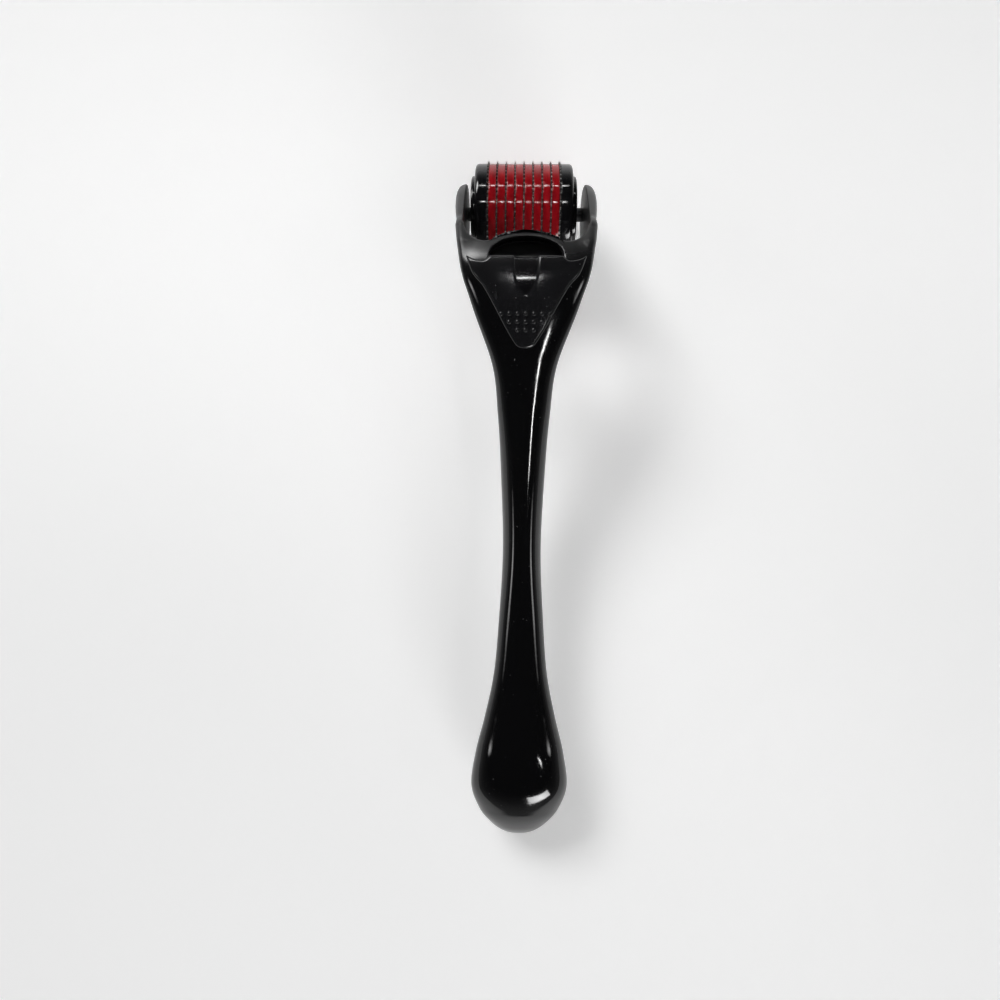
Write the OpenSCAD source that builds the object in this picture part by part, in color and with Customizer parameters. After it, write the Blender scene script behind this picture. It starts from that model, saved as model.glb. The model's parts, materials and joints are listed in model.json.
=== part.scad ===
// Hand-held derma roller: a slim two-shell handle whose front forks into two arms,
// and a roller of needle discs and spacer rings that spins on an axle between the arms.
// +Y runs from the tail to the roller, +X along the axle, +Z up; the part rests on tail and roller.

/* [Handle] */
// Length from the end of the tail to the axle
axle_station = 123; // [122:0.5:125]
// Wall thickness of the two handle shells
shell_wall = 1.5; // [1.2:0.1:1.8]
// Height of the seam between the shells, as a share of the handle's thickness
seam_share = 0.58; // [0.5:0.01:0.65]
// Fullness of the handle's cross-section, where 2 is an ellipse
fullness = 2.2; // [2:0.1:2.6]

/* [Fork] */
// Clear width between the two fork arms
fork_gap = 22.3; // [22:0.1:22.8]
// Radius of the rounded end of each fork arm
arm_end_r = 5.2; // [4.8:0.1:5.6]
// Depth of the axle hole in each fork arm
axle_hole_depth = 1.3; // [1:0.1:1.5]
// Radial running clearance of the axle in its holes
running_clearance = 0.05; // [0.03:0.01:0.1]

/* [Head cover] */
// Depth that the cover is let into the head
cover_depth = 1.2; // [1:0.1:1.5]
// Height that the cover stands proud of the head
cover_proud = 0.25; // [0.1:0.05:0.4]
// Gap round the edge of the cover
cover_gap = 0.1; // [0.05:0.01:0.15]
// Radius of the small grip dots on the cover
dot_r = 0.4; // [0.3:0.05:0.5]

/* [Roller] */
// Needles round each disc
needles_per_disc = 60; // [40:4:72]
// Thickness of a needle disc
disc_t = 0.25; // [0.2:0.05:0.25]
// Radius over the needle points
needle_tip_r = 9.6; // [9.4:0.05:9.8]
// Radius of the spacer rings and end caps
ring_r = 9.2; // [9:0.05:9.3]
// Width of a spacer ring
spacer_w = 1.45; // [1.3:0.05:1.45]
// Width of an end cap at its rim
cap_w = 2.4; // [2:0.05:2.4]
// Distance that the roller lies to the left within its end play
roller_shift = 0.4; // [0:0.1:0.5]
// Radius of the axle
axle_r = 1.3; // [1.2:0.05:1.4]

/* [Hidden] */

$fn = 96;
// One needle disc more than there are spacer rings in NODES
disc_count = 9;
overall_l = axle_station + needle_tip_r;
axle_z = needle_tip_r;
arm_inner_x = fork_gap / 2;
disc_pitch = disc_t + spacer_w;
stack_w = (disc_count - 1) * disc_pitch + disc_t;
core_r = 4;
core_overlap = 1;
cap_boss_r = 7;
cap_boss_w = 0.8;
fit_gap = 0.05;

// Tall enough for a cutter to pass right through the handle, and wide enough to span it
through_h = 40;
span_w = 40;
// A small step past a face, so that a cutter opens it cleanly
past = 0.1;
hair = 0.001;
// Height of a cutter above the head, and of the plane above which the fork gap is cut
above_head = 8;
crotch_bottom_z = 20;

// The handle's outline: station from the tail, half width, top height, bottom height
STATIONS = [
    [0.0, 1.2, 4.0, 1.8],
    [0.8, 3.2, 6.3, 0.9],
    [3.0, 5.6, 9.2, 0.2],
    [6.5, 7.9, 12.2, 0.07],
    [11.5, 9.25, 14.9, 1.4],
    [18.0, 8.4, 16.1, 4.4],
    [25.0, 6.7, 15.9, 6.5],
    [33.0, 5.1, 15.5, 7.3],
    [44.0, 4.2, 15.6, 7.2],
    [56.5, 3.65, 16.8, 6.6],
    [69.0, 4.05, 19.2, 8.8],
    [81.0, 4.75, 22.8, 14.2],
    [90.5, 6.0, 26.2, 19.6],
    [99.5, 9.4, 29.2, 23.4],
    [105.5, 11.4, 30.0, 25.0],
    [110.0, 12.0, 28.8, 24.6],
    [113.5, 12.1, 26.6, 23.4]
];
last_station = len(STATIONS) - 1;

// Stations where the hollow of the handle starts, is fully deep, shallows again and ends
hollow_start = 1;
hollow_full = 3;
hollow_fade = 10;
hollow_end = 11;

steps_per_station = 3;
arc_points = 12;
inner_scale_min = 0.1;
narrowest_inside = 0.5;
shallowest_inside = 0.2;

// Locating pins between the shells: stations from the tail
PIN_STATIONS = [12, 34, 72];
pin_r = 0.8;
pin_reach = 2;
pin_socket_depth = 2.4;
pin_into_roof = 1.2;
boss_r = 1.6;
boss_into_floor = 0.6;

// Pegs under the cover, in blind sockets in the head
COVER_PEG_X = [-6.5, 6.5];
cover_peg_station = 104.2;
peg_r = 0.9;
peg_h = 2.2;
peg_bottom_z = 26.2;

// The entry of STATIONS where the top shell ends, and the body's margin round the cover
shell_end = 14;
body_margin = 0.6;

// A smooth curve through points, where t counts along the points
function pick(points, i) = points[max(0, min(len(points) - 1, i))];
function curve_at(points, t) =
    let(
        i = min(floor(t), len(points) - 2),
        u = t - i,
        a = pick(points, i - 1),
        b = pick(points, i),
        c = pick(points, i + 1),
        d = pick(points, i + 2)
    )
    0.5 * (2 * b + (c - a) * u + (2 * a - 5 * b + 4 * c - d) * u * u
        + (3 * b - a - 3 * c + d) * u * u * u);
function curve(points, steps) =
    [for (k = [0 : steps * (len(points) - 1)]) curve_at(points, k / steps)];

function seam_z(s) = s[3] + seam_share * (s[2] - s[3]);
function round_x(angle) = sign(cos(angle)) * pow(abs(cos(angle)), 2 / fullness);
function round_z(angle) = pow(abs(sin(angle)), 2 / fullness);

// Depth of the hollow at a place along the stations, from 0 to 1
function ramp(t, from, to) = max(0, min(1, (t - from) / (to - from)));
function hollow(t) =
    max(inner_scale_min, min(ramp(t, hollow_start, hollow_full), 1 - ramp(t, hollow_fade, hollow_end)));

// One half of a section: side is 1 for the top half and -1 for the bottom half
function arc(s, side, scale_x, scale_z) =
    let(reach = side > 0 ? s[2] - seam_z(s) : seam_z(s) - s[3])
    [for (k = [0 : arc_points])
        let(angle = 180 * k / arc_points)
        [s[1] * scale_x * round_x(angle), s[0], seam_z(s) + side * reach * scale_z * round_z(angle)]];

function reversed(list) = [for (i = [len(list) - 1 : -1 : 0]) list[i]];

// A closed half-shell section: the outer arc, then the inner arc back
function shell_section(t, side) =
    let(
        s = curve_at(STATIONS, t),
        reach = side > 0 ? s[2] - seam_z(s) : seam_z(s) - s[3],
        depth = hollow(t),
        inner_x = max(narrowest_inside, 1 - shell_wall / s[1]),
        inner_z = depth * max(shallowest_inside, 1 - shell_wall / reach)
    )
    concat(arc(s, side, 1, 1), reversed(arc(s, side, inner_x, inner_z)));

// Skin over closed rings of equal length. The first half of each ring is its outer row,
// the second half is its inner row backwards, and the flat ends join the two rows.
module loft(rings, flip = false) {
    n = len(rings[0]);
    m = len(rings);
    sides = [for (i = [0 : m - 2]) for (j = [0 : n - 1])
        let(a = i * n + j, b = i * n + (j + 1) % n, c = b + n, d = a + n)
        each [[a, b, c], [a, c, d]]];
    start = [for (j = [0 : n / 2 - 2]) [j, n - 1 - j, n - 2 - j, j + 1]];
    last = (m - 1) * n;
    finish = [for (j = [0 : n / 2 - 2]) [last + j, last + j + 1, last + n - 2 - j, last + n - 1 - j]];
    faces = concat(start, sides, finish);
    polyhedron(
        points = [for (ring = rings) each ring],
        faces = flip ? faces : [for (face = faces) reversed(face)],
        convexity = 6
    );
}

module half_shell(side, first, last) {
    steps = round((last - first) * steps_per_station);
    loft([for (k = [0 : steps]) shell_section(first + (last - first) * k / steps, side)], side > 0);
}

// Height of the handle's top surface over a place on the head
function head_top(s, x) =
    seam_z(s) + (s[2] - seam_z(s)) * pow(max(0.02, 1 - pow(min(1, abs(x) / s[1]), fullness)), 1 / fullness);

// A slab that follows the head's top surface, between two heights above it
module head_slab(low, high) {
    first = 11;
    steps = 16;
    across = 12;
    widest = 0.97;
    rings = [for (k = [0 : steps])
        let(s = curve_at(STATIONS, first + (last_station - first) * k / steps))
        concat(
            [for (j = [0 : across])
                let(x = s[1] * widest * (2 * j / across - 1))
                [x, s[0], head_top(s, x) + high]],
            [for (j = [across : -1 : 0])
                let(x = s[1] * widest * (2 * j / across - 1))
                [x, s[0], head_top(s, x) + low]]
        )];
    loft(rings);
}

// Outlines in plan. The cover: a shield with a wing at each upper corner and a round lower end
COVER_SIDE = [
    [0, 91.8], [1.0, 91.95], [1.9, 92.6], [3.6, 95.2],
    [5.4, 98.4], [7.4, 101.8], [9.4, 104.3], [10.7, 108.0]
];
COVER_TOP = [[10.7, 108.0], [9.2, 106.9], [7.3, 106.5], [6.4, 107.3]];
function mirrored(points) = [for (p = reversed(points)) [-p[0], p[1]]];
module cover_outline(grow) {
    half = concat(curve(COVER_SIDE, 4), curve(COVER_TOP, 3));
    offset(delta = grow) polygon(concat(half, mirrored(half)));
}

// Where the head's top belongs to the body and not to the top shell
shoulder_station = 104.6;
module body_footprint() {
    cover_outline(body_margin);
    translate([-span_w / 2, shoulder_station]) square([span_w, overall_l - shoulder_station]);
}

// The front edge of the head between the arms: an arch in the middle and a hollow at each side
CROTCH = [[0, 112.2], [3.6, 111.6], [6.4, 110.4], [8.4, 110.6], [10.1, 112.0], [arm_inner_x, 114.6]];
module crotch_outline() {
    half = curve(CROTCH, 4);
    front = 140;
    polygon(concat(
        [[-arm_inner_x, front]],
        mirrored(half),
        half,
        [[arm_inner_x, front]]
    ));
}

// The crescent recess between the cover's straight top edge and the arched front edge
crescent_half_w = 6.4;
crescent_base = 107.3;
crescent_peak = 111.1;
crescent_floor_z = 26.4;
module crescent_outline() {
    steps = 16;
    polygon([for (k = [0 : steps])
        let(angle = 180 * k / steps)
        [crescent_half_w * cos(angle), crescent_base + (crescent_peak - crescent_base) * sin(angle)]]);
}

// Fork arm seen from the side: a round end about the axle, and a band that sweeps up and back
ARM_REAR = [[-5.2, 9.4], [-5.9, 12.0], [-8.4, 15.6], [-11.8, 19.4], [-15.5, 23.0], [-18.5, 25.2]];
ARM_FRONT = [[-12.5, 27.0], [-8.6, 25.6], [-2.6, 21.0], [1.2, 17.6], [4.2, 13.6], [5.2, 9.4]];
module arm_side() {
    translate([axle_station, axle_z]) circle(r = arm_end_r);
    polygon([for (p = concat(curve(ARM_REAR, 4), curve(ARM_FRONT, 4))) [axle_station + p[0], p[1]]]);
}

// Outer face of the arms in plan
ARM_PLAN = [[11.0, 104.0], [12.0, 109.6], [12.6, 114.5], [13.3, 120.0], [13.35, 125.0], [12.7, 128.4]];
module arms_plan() {
    half = curve(ARM_PLAN, 4);
    polygon(concat(half, mirrored(half)));
}

module arms() {
    arm_t = 4;
    intersection() {
        for (side = [0, 1]) mirror([side, 0, 0])
            translate([arm_inner_x, 0, 0]) rotate([90, 0, 90]) linear_extrude(height = arm_t) arm_side();
        linear_extrude(height = through_h) arms_plan();
    }
}

module place() {
    translate([0, -overall_l / 2, 0]) children();
}

module on_axle(x) {
    translate([x, axle_station, axle_z]) rotate([0, 90, 0]) children();
}

// The first section at or past a station
sections_per_station = 10;
SECTIONS = curve(STATIONS, sections_per_station);
function station_near(y) = [for (s = SECTIONS) if (s[0] >= y) s][0];

module handle_body() {
    color("#17171a") place() difference() {
        union() {
            half_shell(-1, 0, last_station);
            intersection() {
                half_shell_solid_top();
                linear_extrude(height = through_h) body_footprint();
            }
            arms();
            for (y = PIN_STATIONS) let(s = station_near(y))
                translate([0, y, s[3] + boss_into_floor])
                    cylinder(r = boss_r, h = seam_z(s) - s[3] - boss_into_floor);
        }
        translate([0, 0, crotch_bottom_z]) linear_extrude(height = through_h) crotch_outline();
        translate([0, 0, crescent_floor_z]) linear_extrude(height = through_h) crescent_outline();
        intersection() {
            linear_extrude(height = through_h) cover_outline(cover_gap);
            head_slab(-cover_depth, above_head);
        }
        for (x = COVER_PEG_X) translate([x, cover_peg_station, peg_bottom_z - past])
            cylinder(r = peg_r + fit_gap, h = above_head);
        for (y = PIN_STATIONS) let(s = station_near(y))
            translate([0, y, seam_z(s) - pin_socket_depth])
                cylinder(r = pin_r + fit_gap, h = 2 * pin_socket_depth);
        for (side = [-1, 1]) on_axle(side * (arm_inner_x + axle_hole_depth / 2))
            cylinder(r = axle_r + running_clearance, h = axle_hole_depth + hair, center = true);
    }
}

// The solid top half of the section over the head, its underside let into the lower half
module half_shell_solid_top() {
    first = hollow_end;
    steps = (last_station - first) * steps_per_station;
    under_x = 0.98;
    under_z = 0.15;
    loft([for (k = [0 : steps])
        let(s = curve_at(STATIONS, first + (last_station - first) * k / steps))
        concat(arc(s, 1, 1, 1), reversed(arc(s, -1, under_x, under_z)))], true);
}

module handle_top_shell() {
    color("#17171a") place() {
        difference() {
            half_shell(1, 0, shell_end);
            linear_extrude(height = through_h) offset(delta = fit_gap) body_footprint();
        }
        for (y = PIN_STATIONS) let(s = station_near(y))
            translate([0, y, seam_z(s) - pin_reach])
                cylinder(r = pin_r, h = s[2] - seam_z(s) + pin_into_roof);
    }
}

module head_cover() {
    color("#1c1c20") place() {
        difference() {
            intersection() {
                linear_extrude(height = through_h) cover_outline(0);
                head_slab(-cover_depth, cover_proud);
            }
            thumb_scoop();
        }
        dots();
        for (x = COVER_PEG_X) translate([x, cover_peg_station, peg_bottom_z]) cylinder(r = peg_r, h = peg_h);
    }
}

// The scoop that opens into the crescent at the cover's top edge
scoop_half_w = 2.2;
scoop_end = 100.2;
module scoop_outline() {
    hull() {
        translate([0, scoop_end + scoop_half_w]) circle(r = scoop_half_w, $fn = 32);
        translate([-scoop_half_w, crescent_base]) square([2 * scoop_half_w, 1]);
    }
}
module thumb_scoop() {
    floor_depth = 0.8;
    intersection() {
        linear_extrude(height = through_h) scoop_outline();
        head_slab(-floor_depth, above_head);
    }
}

// Three rows of grip dots, each row shorter than the one before
DOT_ROWS = [[97.4, 3], [96.1, 2], [94.8, 1]];
dot_pitch = 1.4;
module dots() {
    for (row = DOT_ROWS) for (k = [-row[1] : row[1]])
        let(x = k * dot_pitch, z = head_top(station_near(row[0]), x) + cover_proud)
        translate([x, row[0], z]) sphere(r = dot_r, $fn = 16);
}

module axle() {
    end_gap = 0.15;
    length = fork_gap + 2 * (axle_hole_depth - end_gap);
    color("#101012") place() on_axle(0) cylinder(r = axle_r, h = length, center = true);
}

module roller_core() {
    length = stack_w + 2 * core_overlap;
    color("#1a1a1c") place() on_axle(-roller_shift) difference() {
        cylinder(r = core_r, h = length, center = true);
        cylinder(r = axle_r, h = length + 2 * past, center = true);
    }
}

module end_cap(side) {
    corner_r = 0.7;
    color("#141416") place() on_axle(-roller_shift + side * stack_w / 2) rotate([side < 0 ? 180 : 0, 0, 0])
        rotate_extrude() difference() {
            union() {
                square([ring_r - corner_r, cap_w]);
                square([ring_r, cap_w - corner_r]);
                translate([ring_r - corner_r, cap_w - corner_r]) circle(r = corner_r);
                square([cap_boss_r, cap_w + cap_boss_w]);
            }
            translate([0, -past]) square([axle_r, cap_w + cap_boss_w + 2 * past]);
            translate([0, -past]) square([core_r + fit_gap, core_overlap + fit_gap + past]);
        }
}
module end_cap_left() { end_cap(-1); }
module end_cap_right() { end_cap(1); }

// One etched disc: a ring with a row of fine points round it
disc_root_r = 8.9;
needle_half_angle = 0.8;
module needle_disc(index) {
    turn = index % 2 == 0 ? 0 : 180 / needles_per_disc;
    x = (index - (disc_count - 1) / 2) * disc_pitch - roller_shift;
    color("silver") place() on_axle(x) linear_extrude(height = disc_t, center = true) difference() {
        rotate(turn) polygon([for (k = [0 : needles_per_disc - 1])
            let(angle = 360 * k / needles_per_disc)
            each [
                disc_root_r * [cos(angle - needle_half_angle), sin(angle - needle_half_angle)],
                needle_tip_r * [cos(angle), sin(angle)],
                disc_root_r * [cos(angle + needle_half_angle), sin(angle + needle_half_angle)]
            ]]);
        circle(r = core_r + fit_gap);
    }
}

module spacer_ring(index) {
    edge = 0.12;
    x = (index + 1 - disc_count / 2) * disc_pitch - roller_shift;
    color("#c8101c") place() on_axle(x) rotate_extrude() translate([0, -spacer_w / 2]) polygon([
        [core_r + fit_gap, 0],
        [ring_r - edge, 0],
        [ring_r, edge],
        [ring_r, spacer_w - edge],
        [ring_r - edge, spacer_w],
        [core_r + fit_gap, spacer_w]
    ]);
}

handle_body();
handle_top_shell();
head_cover();
axle();
roller_core();
end_cap_left();
end_cap_right();
needle_disc(0);  // needle_disc_1
needle_disc(1);  // needle_disc_2
needle_disc(2);  // needle_disc_3
needle_disc(3);  // needle_disc_4
needle_disc(4);  // needle_disc_5
needle_disc(5);  // needle_disc_6
needle_disc(6);  // needle_disc_7
needle_disc(7);  // needle_disc_8
needle_disc(8);  // needle_disc_9
spacer_ring(0);  // spacer_ring_1
spacer_ring(1);  // spacer_ring_2
spacer_ring(2);  // spacer_ring_3
spacer_ring(3);  // spacer_ring_4
spacer_ring(4);  // spacer_ring_5
spacer_ring(5);  // spacer_ring_6
spacer_ring(6);  // spacer_ring_7
spacer_ring(7);  // spacer_ring_8
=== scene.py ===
"""Looks for the derma roller: smooth glossy shells, rounded rings and caps, materials, lights and camera.

Shapes are worked out in millimetres, with the station s measured along +Y from the tail's end.
"""
import json
import math

import bpy
import numpy as np
from mathutils import Euler, Matrix, Vector


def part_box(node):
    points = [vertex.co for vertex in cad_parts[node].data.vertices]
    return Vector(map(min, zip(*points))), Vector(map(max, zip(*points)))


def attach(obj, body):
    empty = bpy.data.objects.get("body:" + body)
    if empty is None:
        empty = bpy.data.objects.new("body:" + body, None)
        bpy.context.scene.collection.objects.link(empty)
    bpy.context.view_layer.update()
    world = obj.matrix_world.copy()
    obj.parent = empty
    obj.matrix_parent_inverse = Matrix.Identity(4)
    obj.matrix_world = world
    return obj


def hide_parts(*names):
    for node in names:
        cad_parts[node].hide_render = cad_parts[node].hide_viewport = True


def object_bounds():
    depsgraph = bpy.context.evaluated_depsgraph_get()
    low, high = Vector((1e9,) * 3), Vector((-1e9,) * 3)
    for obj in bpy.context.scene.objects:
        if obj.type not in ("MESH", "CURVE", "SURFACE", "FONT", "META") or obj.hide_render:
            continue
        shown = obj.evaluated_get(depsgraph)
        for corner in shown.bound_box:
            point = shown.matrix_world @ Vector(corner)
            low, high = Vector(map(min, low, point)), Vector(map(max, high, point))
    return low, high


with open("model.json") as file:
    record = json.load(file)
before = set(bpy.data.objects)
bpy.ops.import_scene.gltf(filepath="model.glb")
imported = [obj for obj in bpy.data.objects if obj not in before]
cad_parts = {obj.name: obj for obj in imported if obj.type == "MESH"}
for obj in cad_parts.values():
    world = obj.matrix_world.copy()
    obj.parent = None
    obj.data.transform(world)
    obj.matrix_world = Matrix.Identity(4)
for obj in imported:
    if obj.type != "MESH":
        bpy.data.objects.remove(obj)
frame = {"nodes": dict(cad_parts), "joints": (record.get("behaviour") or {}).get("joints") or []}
cad_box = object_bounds()

MM = 0.001
COARSE = 1.0

# ---------------------------------------------------------------- sizes, in millimetres
TAIL_Y = cad_box[0].y / MM
AXLE_Y, AXLE_Z = (v / MM for v in frame["joints"][0]["pos_m"][1:3])
AXLE_S = AXLE_Y - TAIL_Y
FULLNESS = 2.2
SEAM_SHARE = 0.58
TOP_WALL = 1.2
BODY_WALL = 0.8

# The handle's outline: station, half width, top height, bottom height
STATIONS = [
    (0.0, 1.2, 4.0, 1.8), (0.8, 3.2, 6.3, 0.9), (3.0, 5.6, 9.2, 0.2), (6.5, 7.9, 12.2, 0.07),
    (11.5, 9.25, 14.9, 1.4), (18.0, 8.4, 16.1, 4.4), (25.0, 6.7, 15.9, 6.5), (33.0, 5.1, 15.5, 7.3),
    (44.0, 4.2, 15.6, 7.2), (56.5, 3.65, 16.8, 6.6), (69.0, 4.05, 19.2, 8.8), (81.0, 4.75, 22.8, 14.2),
    (90.5, 6.0, 26.2, 19.6), (99.5, 9.4, 29.2, 23.4), (105.5, 11.4, 30.0, 25.0), (110.0, 12.0, 28.8, 24.6),
    (113.5, 12.1, 26.6, 23.4),
]
HEAD_END = 114.2

# The head cover in plan: its side from the round lower end to the wing, and its top edge
COVER_SIDE = [
    (0, 91.8), (1.0, 91.95), (1.9, 92.6), (3.6, 95.2), (5.4, 98.4), (7.4, 101.8), (9.4, 104.3), (10.7, 108.0),
]
COVER_TOP = [(10.7, 108.0), (9.2, 106.9), (7.3, 106.5), (6.4, 107.3)]
COVER_PROUD = 0.25
COVER_DEPTH = 1.1
COVER_GAP = 0.1
COVER_EDGE_R, COVER_UNDER_R = 0.62, 0.1
# The cover's front edge reaches down past the height of the crescent recess's floor
LIP_STATIONS, LIP_HALF_W, LIP_DROP = (106.3, 106.9), (5.6, 6.2), 2.6
# A shallow valley down the middle of the cover, below the scoop
VALLEY_DEPTH, VALLEY_HALF_W, VALLEY_STATIONS = 0.16, 1.5, (96.5, 99.5)
# Below the seam, the body has the head from this station on and within this margin of the cover
SHOULDER = 104.6
BODY_MARGIN = 0.6
PARTING_R = 0.9
# How wide a band along a shell's border is pulled in, and how deep
BORDER_WIDTH, BORDER_DROP = 0.3, 0.1

# The fork: its inner faces, and the front edge of the head between the arms
FORK_INNER = 11.15
CROTCH = [(0, 112.2), (3.6, 111.6), (6.4, 110.4), (8.4, 110.6), (10.1, 112.0), (FORK_INNER, 114.6)]
# Everything that the cover hides lies above this height, and the underside of the head below it
UNDER_COVER = 25.7
CRESCENT_HALF_W, CRESCENT_BASE, CRESCENT_PEAK, CRESCENT_FLOOR = 6.4, 107.3, 111.1, 26.4
CRESCENT_TUCK = 0.6

# A fork arm from the side, measured from the axle, and the outer faces of the arms in plan
ARM_REAR = [(-5.2, 9.4), (-5.9, 12.0), (-8.4, 15.6), (-11.8, 19.4), (-15.5, 23.0), (-18.5, 25.2)]
ARM_FRONT = [(-12.5, 27.0), (-8.6, 25.6), (-2.6, 21.0), (1.2, 17.6), (4.2, 13.6), (5.2, 9.4)]
ARM_END_R = 5.2
ARM_PLAN = [(104.0, 11.0), (109.6, 12.0), (114.5, 12.6), (120.0, 13.3), (125.0, 13.35), (128.4, 12.7)]
# Stations over which the head's side runs into the arms' outer faces, and how far it starts outside them
SHOULDER_BLEND, SHOULDER_SLACK = (104.0, 109.6), 0.5

# Radii of the handle's edges and of the fillet between head and arms
SHOULDER_FILLET_R, SHOULDER_EDGE_R, HEAD_EDGE_R = 3.2, 0.8, 0.8
ARM_OUTER_EDGE_R, ARM_INNER_EDGE_R, CROTCH_EDGE_R = 1.5, 0.4, 0.4
RECESS_FLOOR_R, RECESS_EDGE_R = 0.5, 0.2

SCOOP_HALF_W, SCOOP_LENGTH, SCOOP_DEPTH, SCOOP_MIDDLE = 1.9, 5.0, 1.2, 106.3
SCOOP_FLOOR_R, SCOOP_LIP_R = 1.2, 0.6

# Grids for meshing: the cell, then how far the grid reaches across, along and up
HANDLE_CELL, HANDLE_REACH, HANDLE_HEIGHTS = 0.25, 14.5, (-0.9, 31.4)
COVER_CELL, COVER_REACH, COVER_SPAN, COVER_HEIGHTS = 0.13, 11.2, (91.2, 108.8), (20.8, 30.9)

# Grip dots: each row's station and how many dots it has to either side of the middle one
DOT_ROWS = [(97.4, 3), (96.1, 2), (94.8, 1)]
DOT_PITCH, DOT_R, DOT_H = 1.4, 0.43, 0.24
# How far a dot's dome runs on below its widest ring, as a share of a right angle, and sinks into the cover
DOT_UNDERCUT = 0.35
DOT_SUNK = 0.08
DOT_TURNS, DOT_RINGS = 20, 5

# The roller's turned pieces: bores, end-cap boss and rounded edges
RING_BORE_R, RING_EDGE_R = 4.1, 0.2
CAP_BORE_R, CAP_BOSS_R, CAP_BOSS_W, CAP_EDGE_R = 4.05, 7.0, 0.8, 0.85
AXLE_BORE_R, AXLE_EDGE_R, AXLE_CORE_R = 1.35, 0.25, 0.2

# Stations over which the gloss gives way to the duller fork, whose colour is greyed as a painted sheen, and
# radii over which a needle's colour turns pale as a painted glint
FORK_FADE = (103.0, 110.5)
NEEDLE_PAINTED_GLINT = (9.25, 9.5)


# ---------------------------------------------------------------- curves and fields
def curve(points, steps):
    """A smooth curve through points (Catmull-Rom), with that many steps between each two."""
    p = np.asarray(points, float)
    last = len(p) - 1
    t = np.linspace(0, last, steps * last + 1)
    i = np.minimum(t.astype(int), last - 1)
    u = (t - i)[:, None]
    a, b, c, d = (p[np.clip(i + k, 0, last)] for k in (-1, 0, 1, 2))
    return 0.5 * (2 * b + (c - a) * u + (2 * a - 5 * b + 4 * c - d) * u**2 + (3 * b - a - 3 * c + d) * u**3)


def both_sides(half):
    """An outline in plan from its right half, which starts and ends at the middle line or a cut."""
    half = np.asarray(half, float)
    return np.concatenate([half, half[::-1] * (-1, 1)])


def outline_field(points, step=0.12, margin=6.0, soften=2):
    """Signed distance from a closed outline, negative inside, as a function of two coordinates."""
    p = np.asarray(points, float)
    low = p.min(0) - margin
    u, v = (np.arange(low[k], p[:, k].max() + margin, step) for k in (0, 1))
    grid_u, grid_v = np.meshgrid(u, v, indexing="ij")
    best = np.full(grid_u.shape, 1e9)
    inside = np.zeros(grid_u.shape, bool)
    for a, b in zip(p, np.roll(p, -1, 0)):
        e = b - a
        if e @ e < 1e-12:
            continue
        t = np.clip(((grid_u - a[0]) * e[0] + (grid_v - a[1]) * e[1]) / (e @ e), 0, 1)
        best = np.minimum(best, (grid_u - a[0] - t * e[0]) ** 2 + (grid_v - a[1] - t * e[1]) ** 2)
        if a[1] != b[1]:
            inside ^= ((a[1] > grid_v) != (b[1] > grid_v)) & (grid_u < a[0] + (grid_v - a[1]) * e[0] / e[1])
    table = np.where(inside, -1, 1) * np.sqrt(best)
    for _ in range(soften):
        for axis in (0, 1):
            padded = np.pad(table, [(1, 1) if k == axis else (0, 0) for k in (0, 1)], mode="edge")
            n = table.shape[axis]
            before, here, after = (np.take(padded, range(k, k + n), axis) for k in (0, 1, 2))
            table = (before + 2 * here + after) / 4

    def field(a, b):
        i = np.clip((a - low[0]) / step, 0, len(u) - 1.001)
        j = np.clip((b - low[1]) / step, 0, len(v) - 1.001)
        i0, j0 = i.astype(int), j.astype(int)
        fi, fj = i - i0, j - j0
        near = table[i0, j0] * (1 - fi) + table[i0 + 1, j0] * fi
        far = table[i0, j0 + 1] * (1 - fi) + table[i0 + 1, j0 + 1] * fi
        return near * (1 - fj) + far * fj

    return field


def round_cut(a, b, r):
    """The intersection of two solids, its edge rounded to radius r."""
    return np.minimum(-r, np.maximum(a, b)) + np.hypot(np.maximum(r + a, 0), np.maximum(r + b, 0))


def round_join(a, b, r):
    """The union of two solids, its inner corner filled to radius r."""
    return np.maximum(r, np.minimum(a, b)) - np.hypot(np.maximum(r - a, 0), np.maximum(r - b, 0))


def ease(a, low, high):
    t = np.clip((a - low) / (high - low), 0, 1)
    return t * t * (3 - 2 * t)


def handle_rail():
    """Stations close together, with the half width, the thickness and the seam's height at each.

    Squares are interpolated, so that the tail closes as a round end."""
    rows = []
    for k, (s, w, top, bottom) in enumerate(STATIONS):
        grow = 0 if k == 0 else 1
        rows.append((s, grow * w * w, grow * (top - bottom) ** 2, bottom + SEAM_SHARE * (top - bottom)))
    dense = curve(rows, 80)
    return dense[:, 0], np.sqrt(np.maximum(dense[:, 1], 0)), np.sqrt(np.maximum(dense[:, 2], 0)), dense[:, 3]


RAIL_S, RAIL_W, RAIL_T, RAIL_SEAM = handle_rail()


def seam_height(s):
    return np.interp(s, RAIL_S, RAIL_SEAM)


def handle_field(x, s, z):
    """The loft of the handle without arms and cuts."""
    w = np.maximum(np.interp(s, RAIL_S, RAIL_W), 0.05)
    thick = np.maximum(np.interp(s, RAIL_S, RAIL_T), 0.05)
    up = z - seam_height(s)
    reach = np.where(up > 0, (1 - SEAM_SHARE) * thick, SEAM_SHARE * thick)
    u, v = np.abs(x) / w + 1e-6, np.abs(up) / reach + 1e-6
    q = (u**FULLNESS + v**FULLNESS) ** (1 / FULLNESS)
    slope = q ** (1 - FULLNESS) * np.hypot(u ** (FULLNESS - 1) / w, v ** (FULLNESS - 1) / reach)
    return (q - 1) / np.maximum(slope, 0.04)


def head_top(s, x):
    """Height of the head's top surface."""
    w, thick = np.interp(s, RAIL_S, RAIL_W), np.interp(s, RAIL_S, RAIL_T)
    arch = np.maximum(1 - np.minimum(np.abs(x) / w, 1) ** FULLNESS, 0) ** (1 / FULLNESS)
    return seam_height(s) + (1 - SEAM_SHARE) * thick * arch


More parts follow.
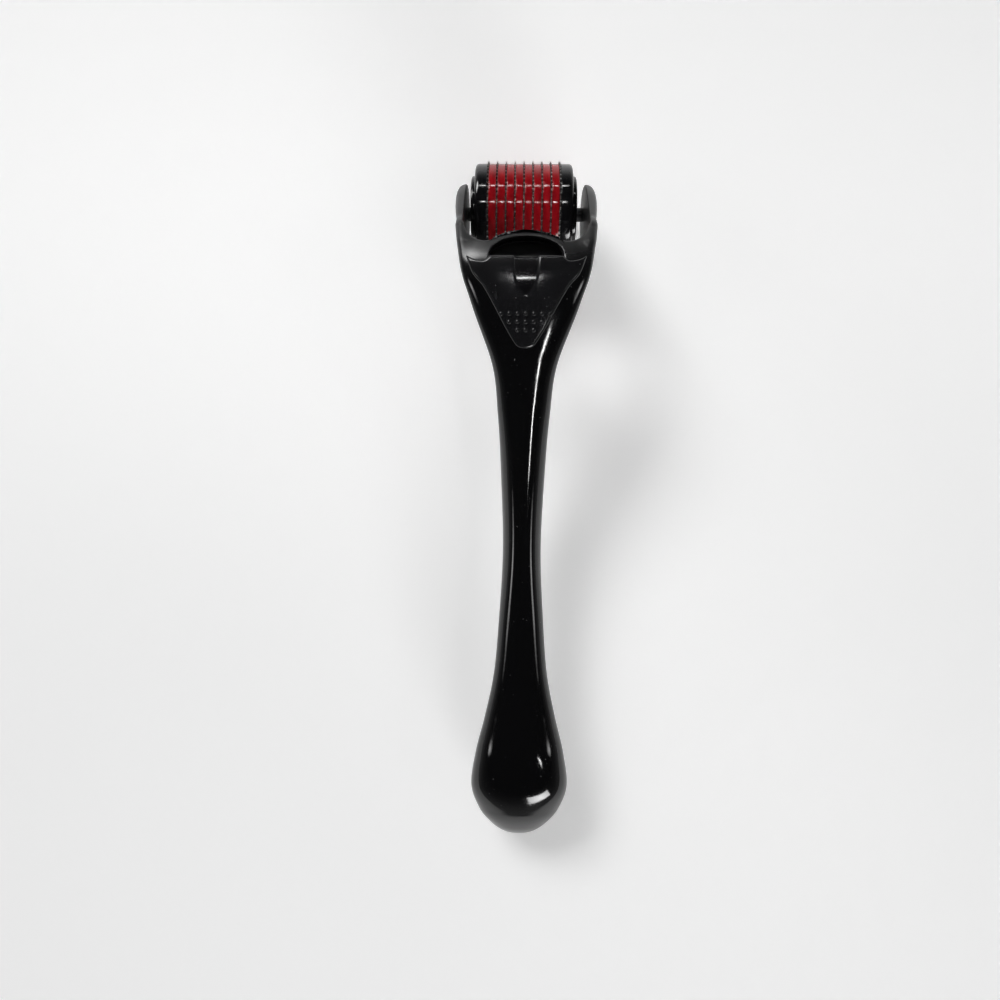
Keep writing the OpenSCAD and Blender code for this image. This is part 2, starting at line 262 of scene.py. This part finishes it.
cover_half = np.concatenate([curve(COVER_SIDE, 8), curve(COVER_TOP, 6)])
cover_plan = outline_field(both_sides(cover_half), step=0.08)

arc = np.linspace(0, -math.pi, 40)[1:-1]
arm_points = np.concatenate([
    curve(ARM_REAR, 8), curve(ARM_FRONT, 8),
    np.stack([ARM_END_R * np.cos(arc), AXLE_Z + ARM_END_R * np.sin(arc)], 1),
])
arm_side = outline_field(arm_points + (AXLE_S, 0))

# The cut between the arms runs on to a station well in front of the part
CROTCH_FRONT = 140.0
crotch_plan = outline_field(both_sides(np.concatenate([curve(CROTCH, 8), [(FORK_INNER, CROTCH_FRONT)]])))

half_turn = np.linspace(0, math.pi, 40)
crescent_arch = np.stack([
    CRESCENT_HALF_W * np.cos(half_turn),
    CRESCENT_BASE + (CRESCENT_PEAK - CRESCENT_BASE) * np.sin(half_turn),
], 1)
crescent_plan = outline_field(np.concatenate([
    crescent_arch,
    [(-CRESCENT_HALF_W, CRESCENT_BASE - CRESCENT_TUCK), (CRESCENT_HALF_W, CRESCENT_BASE - CRESCENT_TUCK)],
]))
ARM_OUTER = curve(ARM_PLAN, 20)


def body_field(x, s, z):
    """Both handle shells as one solid: loft, fork arms, the arched front edge and the crescent recess.

    Known fault: the floor of the recess is missing from both finished skins."""
    side = np.abs(x)
    outer_face = np.interp(s, ARM_OUTER[:, 0], ARM_OUTER[:, 1])
    head = round_cut(handle_field(x, s, z), s - HEAD_END, HEAD_EDGE_R)
    arm = round_cut(arm_side(s, z), side - outer_face, ARM_OUTER_EDGE_R)
    arm = round_cut(arm, FORK_INNER - side, ARM_INNER_EDGE_R)
    solid = round_join(head, arm, SHOULDER_FILLET_R)
    bound = outer_face + SHOULDER_SLACK * (1 - ease(s, *SHOULDER_BLEND))
    solid = round_cut(solid, side - bound, SHOULDER_EDGE_R)
    solid = round_cut(solid, -crotch_plan(x, s), CROTCH_EDGE_R)
    recess = round_cut(crescent_plan(x, s), CRESCENT_FLOOR - z, RECESS_FLOOR_R)
    return round_cut(solid, -recess, RECESS_EDGE_R)


def shell_split(x, s, z):
    """Positive on the top shell, negative on the body.

    Known fault: away from the cover the top shell gets what lies below the seam too, so that the body's
    skin starts only at the head."""
    outside = np.minimum(cover_plan(x, s) - BODY_MARGIN, SHOULDER - s)
    return -round_join(seam_height(s) - z, -outside, PARTING_R)


def cover_field(x, s, z):
    """The head cover: a shield that follows the head, with a scoop that opens at its upper edge.

    Known fault: the plate follows all of the head's skin within the shield's outline, so the cover gets a
    second sheet along the head's underside. The grid cuts that sheet off, open, at its lowest height."""
    rise = handle_field(x, s, z)
    lip = ease(s, *LIP_STATIONS) * (1 - ease(np.abs(x), *LIP_HALF_W))
    valley = VALLEY_DEPTH * np.exp(-((x / VALLEY_HALF_W) ** 2)) * ease(s, *VALLEY_STATIONS)
    plate = round_cut(cover_plan(x, s), rise - COVER_PROUD + valley, COVER_EDGE_R)
    plate = round_cut(plate, -(rise + COVER_DEPTH + LIP_DROP * lip), COVER_UNDER_R)
    past_end = np.maximum(SCOOP_MIDDLE - s, 0) * SCOOP_HALF_W / SCOOP_LENGTH
    away = np.hypot(x, past_end) - SCOOP_HALF_W
    scoop = round_cut(away, COVER_PROUD - SCOOP_DEPTH - rise, SCOOP_FLOOR_R)
    return round_cut(plate, -scoop, SCOOP_LIP_R)


# ---------------------------------------------------------------- meshing
def gradient(field, p, eps):
    g = np.empty_like(p)
    for k in range(3):
        d = np.zeros(3)
        d[k] = eps
        g[:, k] = (field(*(p + d).T) - field(*(p - d).T)) / (2 * eps)
    return g


def surface(field, axes):
    """Points, normals and quads of a field's zero surface on a grid, by surface nets and Newton steps."""
    grid = np.meshgrid(*axes, indexing="ij", sparse=True)
    values = field(*np.broadcast_arrays(*grid)).astype(np.float32)
    inside = values < 0
    n = [len(a) - 1 for a in axes]
    corners = [(i, j, k) for i in (0, 1) for j in (0, 1) for k in (0, 1)]
    count = sum(inside[i:i + n[0], j:j + n[1], k:k + n[2]].astype(np.int8) for i, j, k in corners)
    cells = np.argwhere((count > 0) & (count < 8))
    index = np.full(n, -1)
    index[tuple(cells.T)] = np.arange(len(cells))
    f = np.stack([values[tuple((cells + c).T)] for c in corners], 1)
    total, hits = np.zeros((len(cells), 3)), np.zeros(len(cells))
    for a, ca in enumerate(corners):
        for b, cb in enumerate(corners):
            if b > a and sum(abs(p - q) for p, q in zip(ca, cb)) == 1:
                cross = (f[:, a] < 0) != (f[:, b] < 0)
                t = np.where(cross, f[:, a] / np.where(cross, f[:, a] - f[:, b], 1), 0)[:, None]
                total += cross[:, None] * (np.array(ca) * (1 - t) + np.array(cb) * t)
                hits += cross
    spot = cells + total / hits[:, None]
    points = np.stack([np.interp(spot[:, k], np.arange(len(axes[k])), axes[k]) for k in range(3)], 1)
    quads = []
    for axis in range(3):
        b, c = (axis + 1) % 3, (axis + 2) % 3
        low = [slice(1, None)] * 3
        low[axis] = slice(0, -1)
        high = list(low)
        high[axis] = slice(1, None)
        one, two = inside[tuple(low)], inside[tuple(high)]
        at = np.argwhere(one != two) + [0 if k == axis else 1 for k in range(3)]
        step_b, step_c = np.eye(3, dtype=int)[b], np.eye(3, dtype=int)[c]
        ring = np.stack([index[tuple(q.T)] for q in (at, at - step_b, at - step_b - step_c, at - step_c)], 1)
        flip = ~inside[tuple(at.T)]
        ring[flip] = ring[flip][:, ::-1]
        quads.append(ring)
    for _ in range(4):
        g = gradient(field, points, 0.02)
        step = field(*points.T)[:, None] * g / np.maximum((g * g).sum(1), 0.05)[:, None]
        points -= np.clip(step, -0.15, 0.15)
    g = gradient(field, points, 0.04)
    normals = g / np.maximum(np.linalg.norm(g, axis=1), 1e-9)[:, None]
    return points, normals, np.concatenate(quads)


def clip(points, normals, faces, keep):
    """The part of a triangle mesh where keep is positive, cut cleanly along keep = 0."""
    lift = np.where(np.abs(keep) < 1e-5, 1e-5, keep)
    sign = lift[faces] > 0
    whole = faces[sign.all(1)]
    mixed = faces[sign.any(1) & ~sign.all(1)]
    extra, cut, lookup = [], [], {}

    def crossing(a, b):
        key = (min(a, b), max(a, b))
        if key not in lookup:
            t = lift[a] / (lift[a] - lift[b])
            lookup[key] = len(points) + len(extra)
            extra.append(np.concatenate([points[a] + t * (points[b] - points[a]),
                                         normals[a] + t * (normals[b] - normals[a]), [0.0]]))
        return lookup[key]

    for tri in mixed:
        up = [lift[v] > 0 for v in tri]
        turn = up.index(True) if sum(up) == 1 else (up.index(False) + 1) % 3
        a, b, c = (int(tri[(turn + k) % 3]) for k in range(3))
        if sum(up) == 1:
            cut.append((a, crossing(a, b), crossing(a, c)))
        else:
            p, q = crossing(b, c), crossing(a, c)
            cut += [(a, b, p), (a, p, q)]
    extra = np.array(extra)
    points = np.concatenate([points, extra[:, :3]])
    normals = np.concatenate([normals, extra[:, 3:6]])
    keep = np.concatenate([lift, extra[:, 6]])
    faces = np.concatenate([whole, np.array(cut)])
    used = np.unique(faces)
    remap = np.full(len(points), -1)
    remap[used] = np.arange(len(used))
    normals = normals[used] / np.linalg.norm(normals[used], axis=1)[:, None]
    return points[used], normals, remap[faces], keep[used]


def largest_part(faces, count):
    """The faces of the biggest connected part, without slivers that a cut has left behind."""
    label = np.arange(count)
    while True:
        low = label[faces].min(1)
        fresh = label.copy()
        np.minimum.at(fresh, faces.ravel(), np.repeat(low, 3))
        fresh = fresh[fresh]
        if (fresh == label).all():
            break
        label = fresh
    owner = label[faces[:, 0]]
    return faces[owner == np.bincount(owner).argmax()]


def rim_faces(faces, offset):
    """Faces that join each border edge of a skin to the inner skin's copy of it."""
    edges = np.concatenate([faces[:, [0, 1]], faces[:, [1, 2]], faces[:, [2, 0]]]).tolist()
    have = set(map(tuple, edges))
    return [(a, a + offset, b + offset, b) for a, b in map(tuple, edges) if (b, a) not in have]


def eased_border(points, normals, keep):
    """Skin pulled in a little along its border, so that a parting line catches the light."""
    t = np.clip(1 - keep / BORDER_WIDTH, 0, 1)[:, None]
    return points - BORDER_DROP * t * t * normals


def make_object(name, points, faces, normals=None, smooth_faces=0):
    """A mesh object from points in station millimetres.

    Where normals are given, that many faces from the first on take them and the rest stay flat."""
    mesh = bpy.data.meshes.new(name)
    placed = (np.asarray(points) + (0, TAIL_Y, 0)) * MM
    mesh.from_pydata(placed.tolist(), [], [tuple(map(int, f)) for f in faces])
    mesh.validate()
    mesh.update()
    piece = bpy.data.objects.new(name, mesh)
    bpy.context.scene.collection.objects.link(piece)
    mesh.shade_smooth()
    if normals is None:
        mesh.set_sharp_from_angle(angle=math.radians(32))
    else:
        split = np.zeros((len(mesh.loops), 3), np.float32)
        vertex = np.zeros(len(mesh.loops), np.int32)
        mesh.loops.foreach_get("vertex_index", vertex)
        for poly in mesh.polygons[smooth_faces:]:
            split[poly.loop_start:poly.loop_start + poly.loop_total] = poly.normal[:]
        has_rim = smooth_faces < len(mesh.polygons)
        skin_loops = mesh.polygons[smooth_faces].loop_start if has_rim else len(mesh.loops)
        split[:skin_loops] = normals[vertex[:skin_loops]]
        mesh.normals_split_custom_set(split.tolist())
    return piece


def triangles(quads):
    return np.concatenate([quads[:, [0, 1, 2]], quads[:, [0, 2, 3]]])


# ---------------------------------------------------------------- the handle's three mouldings
def across_grid(reach, cell):
    """Places across the part out to that reach, the same on both sides, with none on the middle line."""
    half = cell * math.ceil(reach / cell) + cell / 2
    return np.arange(-half, half + cell / 2, cell)


def stations_grid():
    """Stations closer together at the tail and the head than along the grip."""
    return np.concatenate([
        np.arange(-0.6, 4.0, 0.25 * COARSE),
        np.arange(4.0, 84.0, 0.55 * COARSE),
        np.arange(84.0, AXLE_S + ARM_END_R + 1.0, 0.24 * COARSE),
    ])


def build_handle():
    cell = HANDLE_CELL * COARSE
    axes = [across_grid(HANDLE_REACH, cell), stations_grid(), np.arange(*HANDLE_HEIGHTS, cell)]
    points, normals, quads = surface(body_field, axes)
    faces = triangles(quads)
    split = shell_split(*points.T)
    hole = cover_plan(points[:, 0], points[:, 1]) - COVER_GAP
    hole = np.where(points[:, 2] > UNDER_COVER, hole, 9.0)

    top = clip(points, normals, faces, split)
    body = clip(points, normals, faces, np.minimum(-split, hole))
    return build_shell("handle_top_skin", TOP_WALL, *top), build_shell("handle_body_skin", BODY_WALL, *body)


def build_shell(name, wall, points, normals, faces, keep):
    """A moulding of that wall thickness: an outer skin, an inner skin and the rims between them."""
    faces = largest_part(faces, len(points))
    inner = points - wall * normals
    outer = eased_border(points, normals, keep)
    everything = [*faces.tolist(), *(faces[:, ::-1] + len(points)).tolist(), *rim_faces(faces, len(points))]
    return make_object(name, np.concatenate([outer, inner]), everything,
                       np.concatenate([normals, -normals]), 2 * len(faces))


def grip_dot(x, s, start):
    """Points, normals and faces of one domed dot on the cover. Its first point has that index."""
    base = float(head_top(s, x)) + COVER_PROUD - DOT_SUNK
    height = DOT_H + DOT_SUNK
    points, normals, faces = [], [], []
    for ring in range(DOT_RINGS):
        angle = math.pi / 2 * (ring / DOT_RINGS * (1 + DOT_UNDERCUT) - DOT_UNDERCUT)
        for turn in range(DOT_TURNS):
            t = 2 * math.pi * turn / DOT_TURNS
            n = Vector((math.cos(angle) * math.cos(t), math.cos(angle) * math.sin(t), math.sin(angle)))
            points.append((x + DOT_R * n.x, s + DOT_R * n.y, base + height * n.z))
            normals.append(Vector((n.x, n.y, n.z * DOT_R / height)).normalized()[:])
    last = start + (DOT_RINGS - 1) * DOT_TURNS
    for row in range(start, last, DOT_TURNS):
        for turn in range(DOT_TURNS):
            a, b = row + turn, row + (turn + 1) % DOT_TURNS
            faces.append((a, b, b + DOT_TURNS, a + DOT_TURNS))
    faces.append(tuple(last + turn for turn in range(DOT_TURNS)))
    faces.append(tuple(start + turn for turn in reversed(range(DOT_TURNS))))
    return points, normals, faces


def build_cover():
    cell = COVER_CELL * COARSE
    axes = [across_grid(COVER_REACH, cell), np.arange(*COVER_SPAN, cell), np.arange(*COVER_HEIGHTS, cell)]
    points, normals, quads = surface(cover_field, axes)
    points, normals, faces = points.tolist(), normals.tolist(), quads.tolist()
    for s, reach in DOT_ROWS:
        for k in range(-reach, reach + 1):
            for whole, more in zip((points, normals, faces), grip_dot(k * DOT_PITCH, s, len(points))):
                whole += more
    return make_object("head_cover_plate", points, faces, np.array(normals), len(faces))


# ---------------------------------------------------------------- the roller's turned pieces
def rounded(corners, radius, steps=5):
    """A closed profile with each corner rounded: corners are (along the axle, radius, rounding share)."""
    made = []
    for k, (x, r, share) in enumerate(corners):
        here = np.array((x, r), float)
        before = np.array(corners[k - 1][:2], float) - here
        after = np.array(corners[(k + 1) % len(corners)][:2], float) - here
        if share == 0:
            made.append(here)
            continue
        start = here + before / np.linalg.norm(before) * radius * share
        end = here + after / np.linalg.norm(after) * radius * share
        for i in range(steps + 1):
            t = i / steps
            made.append((1 - t) ** 2 * start + 2 * t * (1 - t) * here + t * t * end)
    return made


def lathe(name, profile, middle, segments=168):
    """A closed profile turned about the axle, its middle at that place along X."""
    profile = np.array(profile)
    n = len(profile)
    angle = 2 * math.pi * np.arange(segments) / segments
    x = np.tile(profile[:, 0] + middle, segments)
    r = np.tile(profile[:, 1], segments)
    a = np.repeat(angle, n)
    points = np.stack([x, AXLE_S + r * np.sin(a), AXLE_Z + r * np.cos(a)], 1)
    faces = []
    for i in range(segments):
        j = (i + 1) % segments
        for k in range(n):
            m = (k + 1) % n
            faces.append((i * n + k, i * n + m, j * n + m, j * n + k))
    return make_object(name, points, faces)


def node_middle(node):
    """A turned node's middle along X, its width and its radius, in millimetres."""
    low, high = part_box(node)
    return (low.x + high.x) / 2 / MM, (high.x - low.x) / MM, (high.z - low.z) / 2 / MM


def build_ring(index):
    middle, width, radius = node_middle(f"spacer_ring_{index}")
    w = width / 2 - 0.01
    corners = [(-w, RING_BORE_R, 0), (w, RING_BORE_R, 0), (w, radius, 1), (-w, radius, 1)]
    profile = rounded(corners, RING_EDGE_R)
    return lathe(f"red_ring_{index}", profile[::-1], middle)


def build_cap(side, node):
    low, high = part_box(node)
    width, radius = (high.x - low.x) / MM, (high.z - low.z) / 2 / MM
    inner = (low.x if side > 0 else high.x) / MM
    rim = side * (width - CAP_BOSS_W)
    corners = [(0, CAP_BORE_R, 0), (0, radius, 0.25), (rim, radius, 1), (rim, CAP_BOSS_R, 0),
               (side * width, CAP_BOSS_R, 0.45), (side * width, AXLE_BORE_R, 0)]
    profile = rounded(corners, CAP_EDGE_R)
    if side < 0:
        profile = profile[::-1]
    name = "roller_cap_right" if side > 0 else "roller_cap_left"
    return lathe(name, profile, inner)


def build_axle():
    middle, width, radius = node_middle("axle")
    half = width / 2
    corners = [(-half, AXLE_CORE_R, 0), (half, AXLE_CORE_R, 0), (half, radius, 1), (-half, radius, 1)]
    return lathe("axle_pin", rounded(corners, AXLE_EDGE_R)[::-1], middle, 64)


# ---------------------------------------------------------------- materials
def new_material(name, colour, roughness, **sockets):
    """A Principled material and its node tree, with plain values set on the shader."""
    material = bpy.data.materials.new(name)
    material.use_nodes = True
    tree = material.node_tree
    shader = tree.nodes["Principled BSDF"]
    shader.inputs["Base Color"].default_value = (*colour, 1)
    shader.inputs["Roughness"].default_value = roughness
    for key, value in sockets.items():
        shader.inputs[key.replace("_", " ")].default_value = value
    return material, tree, shader


def noise(tree, scale, detail=3.0, stretch=(1, 1, 1)):
    """A noise texture in the object's own metres."""
    coords = tree.nodes.new("ShaderNodeTexCoord")
    mapping = tree.nodes.new("ShaderNodeMapping")
    mapping.inputs["Scale"].default_value = stretch
    texture = tree.nodes.new("ShaderNodeTexNoise")
    texture.inputs["Scale"].default_value = scale
    texture.inputs["Detail"].default_value = detail
    tree.links.new(coords.outputs["Object"], mapping.inputs["Vector"])
    tree.links.new(mapping.outputs["Vector"], texture.inputs["Vector"])
    return texture.outputs["Fac"]


def spread(tree, value, low, high, from_low=0.3, from_high=0.7):
    """A value moved from one range into another."""
    node = tree.nodes.new("ShaderNodeMapRange")
    node.inputs["From Min"].default_value = from_low
    node.inputs["From Max"].default_value = from_high
    node.inputs["To Min"].default_value = low
    node.inputs["To Max"].default_value = high
    tree.links.new(value, node.inputs["Value"])
    return node.outputs["Result"]


def along(tree, axis, low, high):
    """A mask that rises from 0 to 1 between two places in millimetres along one of the object's axes."""
    coords = tree.nodes.new("ShaderNodeTexCoord")
    parts = tree.nodes.new("ShaderNodeSeparateXYZ")
    tree.links.new(coords.outputs["Object"], parts.inputs["Vector"])
    return spread(tree, parts.outputs[axis], 0, 1, low * MM, high * MM)


def from_axle(tree, low, high):
    """A mask that rises from 0 to 1 between two radii in millimetres about the axle."""
    coords = tree.nodes.new("ShaderNodeTexCoord")
    moved = tree.nodes.new("ShaderNodeVectorMath")
    moved.operation = "SUBTRACT"
    moved.inputs[1].default_value = (0, AXLE_Y * MM, AXLE_Z * MM)
    flat = tree.nodes.new("ShaderNodeVectorMath")
    flat.operation = "MULTIPLY"
    flat.inputs[1].default_value = (0, 1, 1)
    length = tree.nodes.new("ShaderNodeVectorMath")
    length.operation = "LENGTH"
    tree.links.new(coords.outputs["Object"], moved.inputs[0])
    tree.links.new(moved.outputs["Vector"], flat.inputs[0])
    tree.links.new(flat.outputs["Vector"], length.inputs[0])
    return spread(tree, length.outputs["Value"], 0, 1, low * MM, high * MM)


def combine(tree, how, a, b):
    node = tree.nodes.new("ShaderNodeMath")
    node.operation = how
    for socket, value in zip(node.inputs, (a, b)):
        if isinstance(value, (int, float)):
            socket.default_value = value
        else:
            tree.links.new(value, socket)
    return node.outputs["Value"]


def two_colours(tree, mask, first, second):
    node = tree.nodes.new("ShaderNodeMix")
    node.data_type = "RGBA"
    node.inputs["A"].default_value = (*first, 1)
    node.inputs["B"].default_value = (*second, 1)
    tree.links.new(mask, node.inputs["Factor"])
    return node.outputs["Result"]


def bump(tree, shader, height, strength, distance):
    node = tree.nodes.new("ShaderNodeBump")
    node.inputs["Strength"].default_value = strength
    node.inputs["Distance"].default_value = distance
    tree.links.new(height, node.inputs["Height"])
    tree.links.new(node.outputs["Normal"], shader.inputs["Normal"])


def gloss_black(name, colour, low, high, specks=0.5, dull_fork_with_painted_sheen=False):
    """Polished moulded plastic: faint handling haze, fine orange peel, hairline scratches and a little dust.

    With the fork option the shoulders and arms are a duller black, their colour greyed a little as a painted
    sheen."""
    material, tree, shader = new_material(name, colour, low, IOR=1.5)
    haze = spread(tree, noise(tree, 160, 4), low, high)
    scratches = spread(tree, noise(tree, 900, 2, (1, 0.06, 1)), 0, 1, 0.66, 0.72)
    dust = spread(tree, noise(tree, 2600, 1), 0, 1, 0.775, 0.80)
    rough = combine(tree, "ADD", haze, combine(tree, "MULTIPLY", scratches, 0.10))
    rough = combine(tree, "ADD", rough, combine(tree, "MULTIPLY", dust, 0.4))
    mask = combine(tree, "MULTIPLY", dust, specks)
    if dull_fork_with_painted_sheen:
        fork = along(tree, "Y", TAIL_Y + FORK_FADE[0], TAIL_Y + FORK_FADE[1])
        # Painted sheen: on the fork the base colour is mixed a little towards grey; the added roughness is
        # the duller finish
        mask = combine(tree, "MAXIMUM", mask, combine(tree, "MULTIPLY", fork, 0.06))
        rough = combine(tree, "ADD", rough, combine(tree, "MULTIPLY", fork, 0.30))
    tree.links.new(rough, shader.inputs["Roughness"])
    # Lighter grey for the dust specks, and for the painted sheen on the fork
    dust_and_sheen_grey = tuple(min(1, c + 0.16) for c in colour)
    tree.links.new(two_colours(tree, mask, colour, dust_and_sheen_grey), shader.inputs["Base Color"])
    peel = combine(tree, "ADD", noise(tree, 420, 2), combine(tree, "MULTIPLY", noise(tree, 3000, 2), 0.15))
    bump(tree, shader, peel, 0.05, 0.0002)
    return material


def satin_black(name, colour):
    """Unpolished moulded plastic with a fine grain."""
    material, tree, shader = new_material(name, colour, 0.42)
    tree.links.new(spread(tree, noise(tree, 700, 4), 0.34, 0.52), shader.inputs["Roughness"])
    tree.links.new(two_colours(tree, spread(tree, noise(tree, 250), 0, 1), colour,
                               tuple(c * 1.7 for c in colour)), shader.inputs["Base Color"])
    bump(tree, shader, noise(tree, 4000, 3), 0.15, 0.0001)
    return material


def red_plastic():
    """Tinted see-through plastic: deep red with lighter streaks round the ring."""
    material, tree, shader = new_material("spacer_red_plastic", (0.4, 0.006, 0.012), 0.16, IOR=1.45)
    shader.inputs["Subsurface Weight"].default_value = 0.15
    shader.inputs["Subsurface Radius"].default_value = (0.0012, 0.0002, 0.0002)
    streak = spread(tree, noise(tree, 1100, 3, (1, 0.35, 0.35)), 0, 1)
    reds = two_colours(tree, streak, (0.26, 0.003, 0.007), (0.42, 0.008, 0.014))
    tree.links.new(reds, shader.inputs["Base Color"])
    tree.links.new(spread(tree, noise(tree, 500, 3), 0.05, 0.10), shader.inputs["Roughness"])
    bump(tree, shader, noise(tree, 1500, 2), 0.03, 0.0001)
    return material


def etched_steel():
    """Stained etched steel, its colour turned to a painted glint at the needle points beyond the rings."""
    material, tree, shader = new_material("needle_etched_steel", (0.2, 0.19, 0.18), 0.3, Metallic=1.0)
    tone = spread(tree, noise(tree, 1800, 4), 0, 1)
    stain = two_colours(tree, tone, (0.14, 0.13, 0.13), (0.28, 0.27, 0.26))
    # Painted glint: past the rings' radius the steel's colour turns pale, where the points stand out into the
    # light
    painted_tip_glint = two_colours(tree, from_axle(tree, *NEEDLE_PAINTED_GLINT), (0, 0, 0), (0.7, 0.7, 0.69))
    stain_and_glint = tree.nodes.new("ShaderNodeVectorMath")
    tree.links.new(stain, stain_and_glint.inputs[0])
    tree.links.new(painted_tip_glint, stain_and_glint.inputs[1])
    tree.links.new(stain_and_glint.outputs["Vector"], shader.inputs["Base Color"])
    tree.links.new(spread(tree, noise(tree, 2500, 3), 0.3, 0.5), shader.inputs["Roughness"])
    bump(tree, shader, noise(tree, 6000, 2), 0.1, 0.0001)
    return material


def dress(piece, material):
    piece.data.materials.clear()
    piece.data.materials.append(material)


# ---------------------------------------------------------------- put together
# The handle's fork gets a duller finish and a painted grey sheen in its colour
handle_black = gloss_black("handle_gloss_black", (0.0045, 0.0045, 0.005), 0.05, 0.11, dull_fork_with_painted_sheen=True)
cover_black = gloss_black("cover_gloss_black", (0.010, 0.010, 0.011), 0.13, 0.22)
cap_black = gloss_black("cap_gloss_black", (0.006, 0.006, 0.007), 0.06, 0.12, 0.3)
axle_black = satin_black("axle_satin_black", (0.012, 0.012, 0.013))
core_black = satin_black("core_satin_black", (0.018, 0.018, 0.02))
ring_red = red_plastic()
steel = etched_steel()


def finish_piece(piece, material, body, slot, *nodes):
    dress(piece, material)
    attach(piece, body)
    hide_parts(*nodes)


top_shell, handle_body = build_handle()
finish_piece(top_shell, handle_black, "handle", "handle_gloss", "handle_top_shell")
finish_piece(handle_body, handle_black, "handle", "handle_gloss", "handle_body")
finish_piece(build_cover(), cover_black, "handle", "cover_gloss", "head_cover")
finish_piece(build_axle(), axle_black, "roller", "axle_black", "axle")
for cap_side, cap_node in ((-1, "end_cap_left"), (1, "end_cap_right")):
    finish_piece(build_cap(cap_side, cap_node), cap_black, "roller", "cap_black", cap_node)
for number in range(1, 9):
    finish_piece(build_ring(number), ring_red, "roller", "spacer_red", f"spacer_ring_{number}")


def dress_node(node, material):
    piece = frame["nodes"][node]
    for material_slot in piece.material_slots:
        material_slot.material = material
    if not piece.material_slots:
        piece.data.materials.append(material)


dress_node("roller_core", core_black)
for number in range(1, 10):
    dress_node(f"needle_disc_{number}", steel)


# ---------------------------------------------------------------- floor, light and camera
def build_floor():
    mesh = bpy.data.meshes.new("floor")
    reach = 12.0
    corners = [(-reach, -reach, 0), (reach, -reach, 0), (reach, reach, 0), (-reach, reach, 0)]
    mesh.from_pydata(corners, [], [(0, 1, 2, 3)])
    floor = bpy.data.objects.new("floor", mesh)
    floor.location.z = cad_box[0].z - 0.0002
    bpy.context.scene.collection.objects.link(floor)
    material, tree, shader = new_material("floor_pale", (0.9, 0.9, 0.9), 0.85)
    shader.inputs["Emission Color"].default_value = (1, 1, 1, 1)
    shader.inputs["Emission Strength"].default_value = 0.35
    tone = spread(tree, noise(tree, 6), 0, 1)
    pale = two_colours(tree, tone, (0.90, 0.90, 0.90), (0.93, 0.93, 0.93))
    tree.links.new(pale, shader.inputs["Base Color"])
    dress(floor, material)


def softbox(name, place, target, size, glow, spread_deg=180):
    """An area light of that size in metres. Its glow is the radiance seen along its axis."""
    data = bpy.data.lights.new(name, "AREA")
    data.shape = "RECTANGLE"
    data.size, data.size_y = size
    half = math.radians(spread_deg) / 2
    gathered = math.tan(half) / (math.tan(half) - half) if spread_deg < 170 else 1
    data.energy = glow * math.pi * size[0] * size[1] / gathered
    data.spread = math.radians(spread_deg)
    light = bpy.data.objects.new(name, data)
    light.location = place
    light.rotation_mode = "QUATERNION"
    light.rotation_quaternion = (Vector(target) - Vector(place)).to_track_quat("-Z", "Y")
    bpy.context.scene.collection.objects.link(light)


def build_world():
    """A studio that is dark overhead, palest low down in front of the roller and dimmer at the tail's end."""
    world = bpy.data.worlds.new("studio")
    bpy.context.scene.world = world
    world.use_nodes = True
    tree = world.node_tree
    background = tree.nodes["Background"]
    coords = tree.nodes.new("ShaderNodeTexCoord")
    parts = tree.nodes.new("ShaderNodeSeparateXYZ")
    ramp = tree.nodes.new("ShaderNodeValToRGB")
    tree.links.new(coords.outputs["Generated"], parts.inputs["Vector"])
    tree.links.new(parts.outputs["Z"], ramp.inputs["Fac"])
    tree.links.new(ramp.outputs["Color"], background.inputs["Color"])
    stops = ramp.color_ramp.elements
    stops[0].position, stops[0].color = 0.0, (0.55, 0.55, 0.55, 1)
    stops[1].position, stops[1].color = 0.50, (0.008, 0.008, 0.008, 1)
    middle = stops.new(0.25)
    middle.color = (0.16, 0.16, 0.16, 1)
    tree.links.new(spread(tree, parts.outputs["Y"], 0.35, 1.5, -0.6, 0.8), background.inputs["Strength"])


build_floor()
build_world()
axle_point = Vector((0, AXLE_Y * MM, AXLE_Z * MM))
grip_point = Vector((0, 0.006, 0.018))
head_point = Vector((0, 0.036, 0.028))
tail_point = Vector((0, -0.056, 0.013))
softbox("overhead_strip", axle_point + Vector((0, 0.058, 0.70)), axle_point, (0.34, 0.016), 60, 14)
softbox("rear_strip", axle_point + Vector((0, 0.483, 0.50)), axle_point, (0.40, 0.016), 40, 24)
softbox("side_strip", grip_point + Vector((0.30, -0.32, 0.55)), grip_point, (0.02, 0.20), 60, 12)
for side in (-1, 1):
    softbox(f"wing_{side}", head_point + Vector((side * 0.52, -0.14, 0.36)), head_point, (0.50, 0.14), 7, 14)
softbox("window", tail_point + Vector((0.25, -0.62, 0.22)), tail_point, (0.34, 0.16), 16, 60)
softbox("key", Vector((-0.9, 1.3, 1.2)), axle_point, (0.9, 0.6), 13)

bpy.context.scene.view_settings.view_transform = "Standard"
camera_data = bpy.data.cameras.new("camera")
camera_data.sensor_width = 36
camera_data.lens = 25.92
camera = bpy.data.objects.new("camera", camera_data)
# The camera looks almost straight down: its place in metres, then its turns about X, Y and Z in degrees
camera_place = Matrix.Translation((-0.00197, 0.0609 + TAIL_Y * MM, 0.15044))
camera_turn = Euler([math.radians(angle) for angle in (2.175, 0.929, 0.704)])
camera.matrix_world = camera_place @ camera_turn.to_matrix().to_4x4()
bpy.context.scene.collection.objects.link(camera)
bpy.context.scene.camera = camera
